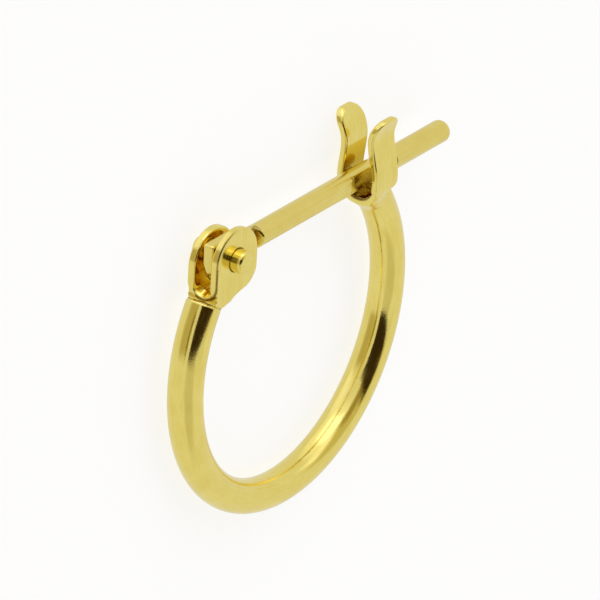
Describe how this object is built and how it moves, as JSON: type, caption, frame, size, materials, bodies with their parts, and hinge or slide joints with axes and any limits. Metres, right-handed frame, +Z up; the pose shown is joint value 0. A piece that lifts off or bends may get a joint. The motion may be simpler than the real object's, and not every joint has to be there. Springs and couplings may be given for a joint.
{
  "type": "hoop earring",
  "caption": "Small hinged hoop earring of round polished gold tube; a straight ear post turns on a pin in a clevis and snaps down into a spring catch.",
  "frame": {"origin": "middle of the earring's box, on the surface that the earring lies on", "axes": "+X from the hinge along the ear post to its tip, +Y from the bottom of the hoop to the post, +Z up, across the thickness of the hoop, which lies on its side"},
  "size_m": [0.0186, 0.016, 0.0025],
  "materials": {
    "gold_tube": "polished yellow gold",
    "gold_fittings": "polished yellow gold, finely worn"
  },
  "bodies": {
    "hoop": {"hoop_frame": "gold_tube", "hinge_pin": "gold_fittings"},
    "post": {"ear_post": "gold_fittings"}
  },
  "joints": [
    {"name": "post_hinge", "type": "hinge", "parent": "hoop", "child": "post", "pos_m": [-0.00643, 0.00532, 0.00127], "axis": [-0.0026, -0.0421, 0.9991], "range_deg": [0, 70]}
  ]
}
